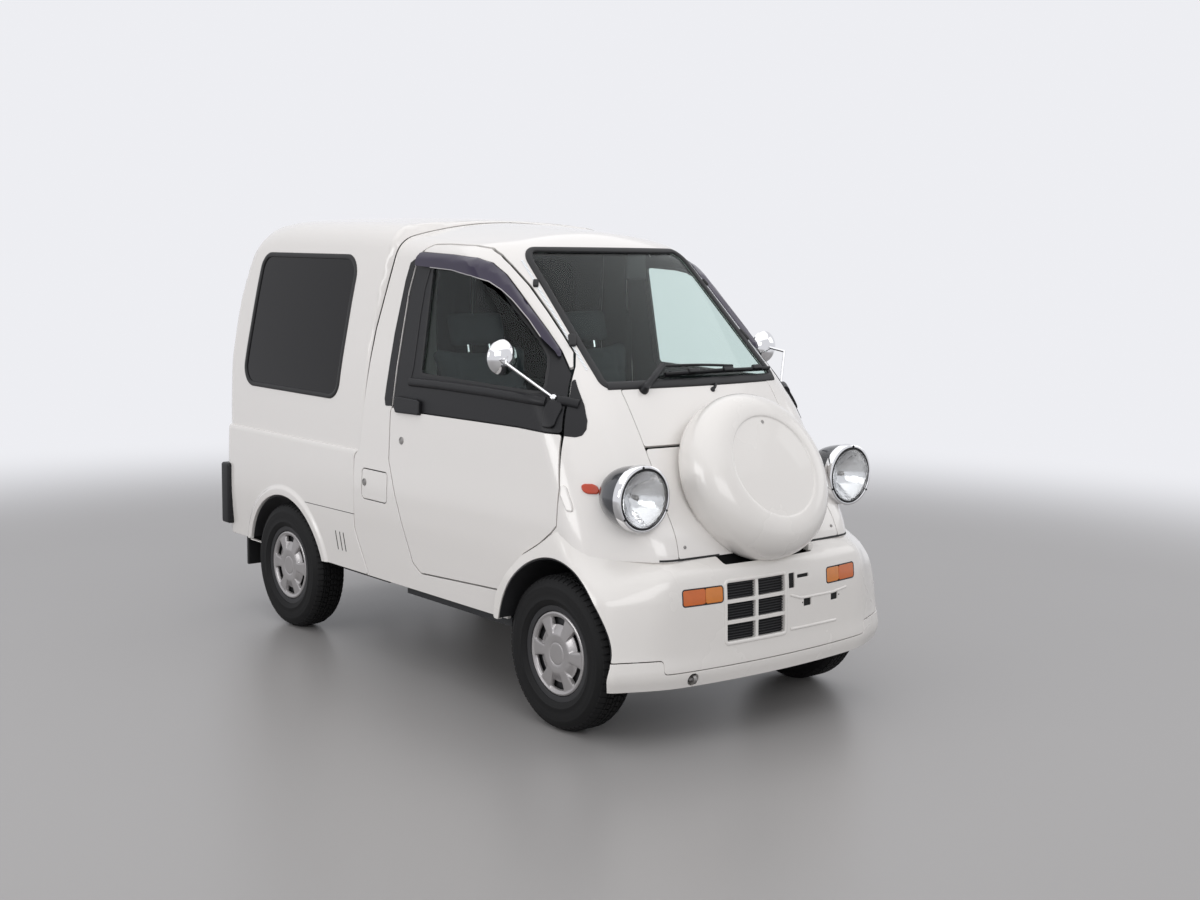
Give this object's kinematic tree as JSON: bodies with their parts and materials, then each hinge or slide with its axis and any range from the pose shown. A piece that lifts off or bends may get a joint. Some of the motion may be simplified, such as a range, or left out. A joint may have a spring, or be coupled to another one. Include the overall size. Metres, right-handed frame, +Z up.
{
  "type": "kei truck with closed load box",
  "caption": "Small kei truck with a closed, windowed load box, spare wheel cover on the nose, pod headlamps, hinged doors, top-hinged tailgate and steered front wheels.",
  "frame": {"origin": "on the ground under the middle of the vehicle's box", "axes": "front faces -Y, the vehicle's left is +X, +Z up"},
  "size_m": [1.378, 2.8955, 1.727],
  "materials": {
    "white_paint": "gloss",
    "dark_plastic": "satin",
    "screen_glass": "clear",
    "privacy_glass": "dark tint",
    "lens": "clear",
    "amber": "gloss",
    "red_lens": "gloss",
    "chrome": "polished",
    "chassis_black": "satin",
    "steel": "dull",
    "tyre": "matt",
    "wheel_silver": "satin",
    "trim_grey": "matt",
    "seat_fabric": "woven",
    "white_plastic": "gloss"
  },
  "bodies": {
    "body": {"floor_pan": "white_paint", "wheel_houses": "white_paint", "chassis_frame": "chassis_black", "cab_shell": "white_paint", "cowl_panel": "white_paint", "nose_lid": "white_paint", "windscreen": "screen_glass", "bed_shell": "white_paint", "box_shell": "white_paint", "side_glasses": "privacy_glass", "front_bumper": "white_plastic", "bumper_lip": "white_plastic", "front_signals": "amber", "radiator": "chassis_black", "spare_wheel_cover": "white_plastic", "headlamp_pods": "dark_plastic", "headlamp_lenses": "lens", "tail_lamps": "red_lens", "rear_bumper": "dark_plastic", "dashboard": "trim_grey", "steering_column": "trim_grey", "seat_base": "trim_grey", "seats": "seat_fabric", "engine": "steel", "pillar_garnishes": "dark_plastic", "tow_eye": "steel", "front_suspension": "chassis_black", "rear_axle": "chassis_black", "fuel_tank": "chassis_black", "exhaust": "steel"},
    "door_left": {"door_left_panel": "white_paint", "door_left_trim": "dark_plastic", "door_left_glass": "screen_glass", "door_left_mirror": "chrome"},
    "door_right": {"door_right_panel": "white_paint", "door_right_trim": "dark_plastic", "door_right_glass": "screen_glass", "door_right_mirror": "chrome"},
    "tailgate": {"tailgate": "white_paint", "tailgate_glass": "privacy_glass"},
    "fuel_lid": {"fuel_lid": "white_paint"},
    "steering_wheel": {"steering_wheel": "dark_plastic"},
    "knuckle_left": {"knuckle_left": "steel"},
    "knuckle_right": {"knuckle_right": "steel"},
    "wheel_front_left": {"tyre_front_left": "tyre", "wheel_front_left": "wheel_silver"},
    "wheel_front_right": {"tyre_front_right": "tyre", "wheel_front_right": "wheel_silver"},
    "wheel_rear_left": {"tyre_rear_left": "tyre", "wheel_rear_left": "wheel_silver"},
    "wheel_rear_right": {"tyre_rear_right": "tyre", "wheel_rear_right": "wheel_silver"}
  },
  "joints": [
    {"name": "door_left_hinge", "type": "hinge", "parent": "body", "child": "door_left", "pos_m": [0.62, -0.9605, 0.8], "axis": [-0.0499, 0, 0.9988], "range_deg": [-65, 0]},
    {"name": "door_right_hinge", "type": "hinge", "parent": "body", "child": "door_right", "pos_m": [-0.62, -0.9605, 0.8], "axis": [0.0499, 0, 0.9988], "range_deg": [0, 65]},
    {"name": "tailgate_hinge", "type": "hinge", "parent": "body", "child": "tailgate", "pos_m": [0, 1.3135, 1.562], "axis": [1, 0, 0], "range_deg": [0, 78]},
    {"name": "fuel_lid_hinge", "type": "hinge", "parent": "body", "child": "fuel_lid", "pos_m": [-0.6235, 0.084, 0.691], "axis": [0, 0, 1], "range_deg": [0, 95]},
    {"name": "steer_left", "type": "hinge", "parent": "body", "child": "knuckle_left", "pos_m": [0.535, -0.9555, 0.263], "axis": [0, 0, 1], "range_deg": [-30, 30]},
    {"name": "steer_right", "type": "hinge", "parent": "body", "child": "knuckle_right", "pos_m": [-0.535, -0.9555, 0.263], "axis": [0, 0, 1], "range_deg": [-30, 30]},
    {"name": "steering_wheel_turn", "type": "hinge", "parent": "body", "child": "steering_wheel", "pos_m": [-0.262, -0.5155, 1.035], "axis": [0, 0.5299, 0.848], "range_deg": [-451, 451]},
    {"name": "front_left_spin", "type": "hinge", "parent": "knuckle_left", "child": "wheel_front_left", "pos_m": [0.552, -0.9555, 0.263], "axis": [1, 0, 0], "continuous": true},
    {"name": "front_right_spin", "type": "hinge", "parent": "knuckle_right", "child": "wheel_front_right", "pos_m": [-0.552, -0.9555, 0.263], "axis": [1, 0, 0], "continuous": true},
    {"name": "rear_left_spin", "type": "hinge", "parent": "body", "child": "wheel_rear_left", "pos_m": [0.552, 0.8845, 0.263], "axis": [1, 0, 0], "continuous": true},
    {"name": "rear_right_spin", "type": "hinge", "parent": "body", "child": "wheel_rear_right", "pos_m": [-0.552, 0.8845, 0.263], "axis": [1, 0, 0], "continuous": true}
  ],
  "couplings": [
    {"joint": "steer_right", "follows": "steer_left", "ratio": 1},
    {"joint": "steering_wheel_turn", "follows": "steer_left", "ratio": 15}
  ]
}
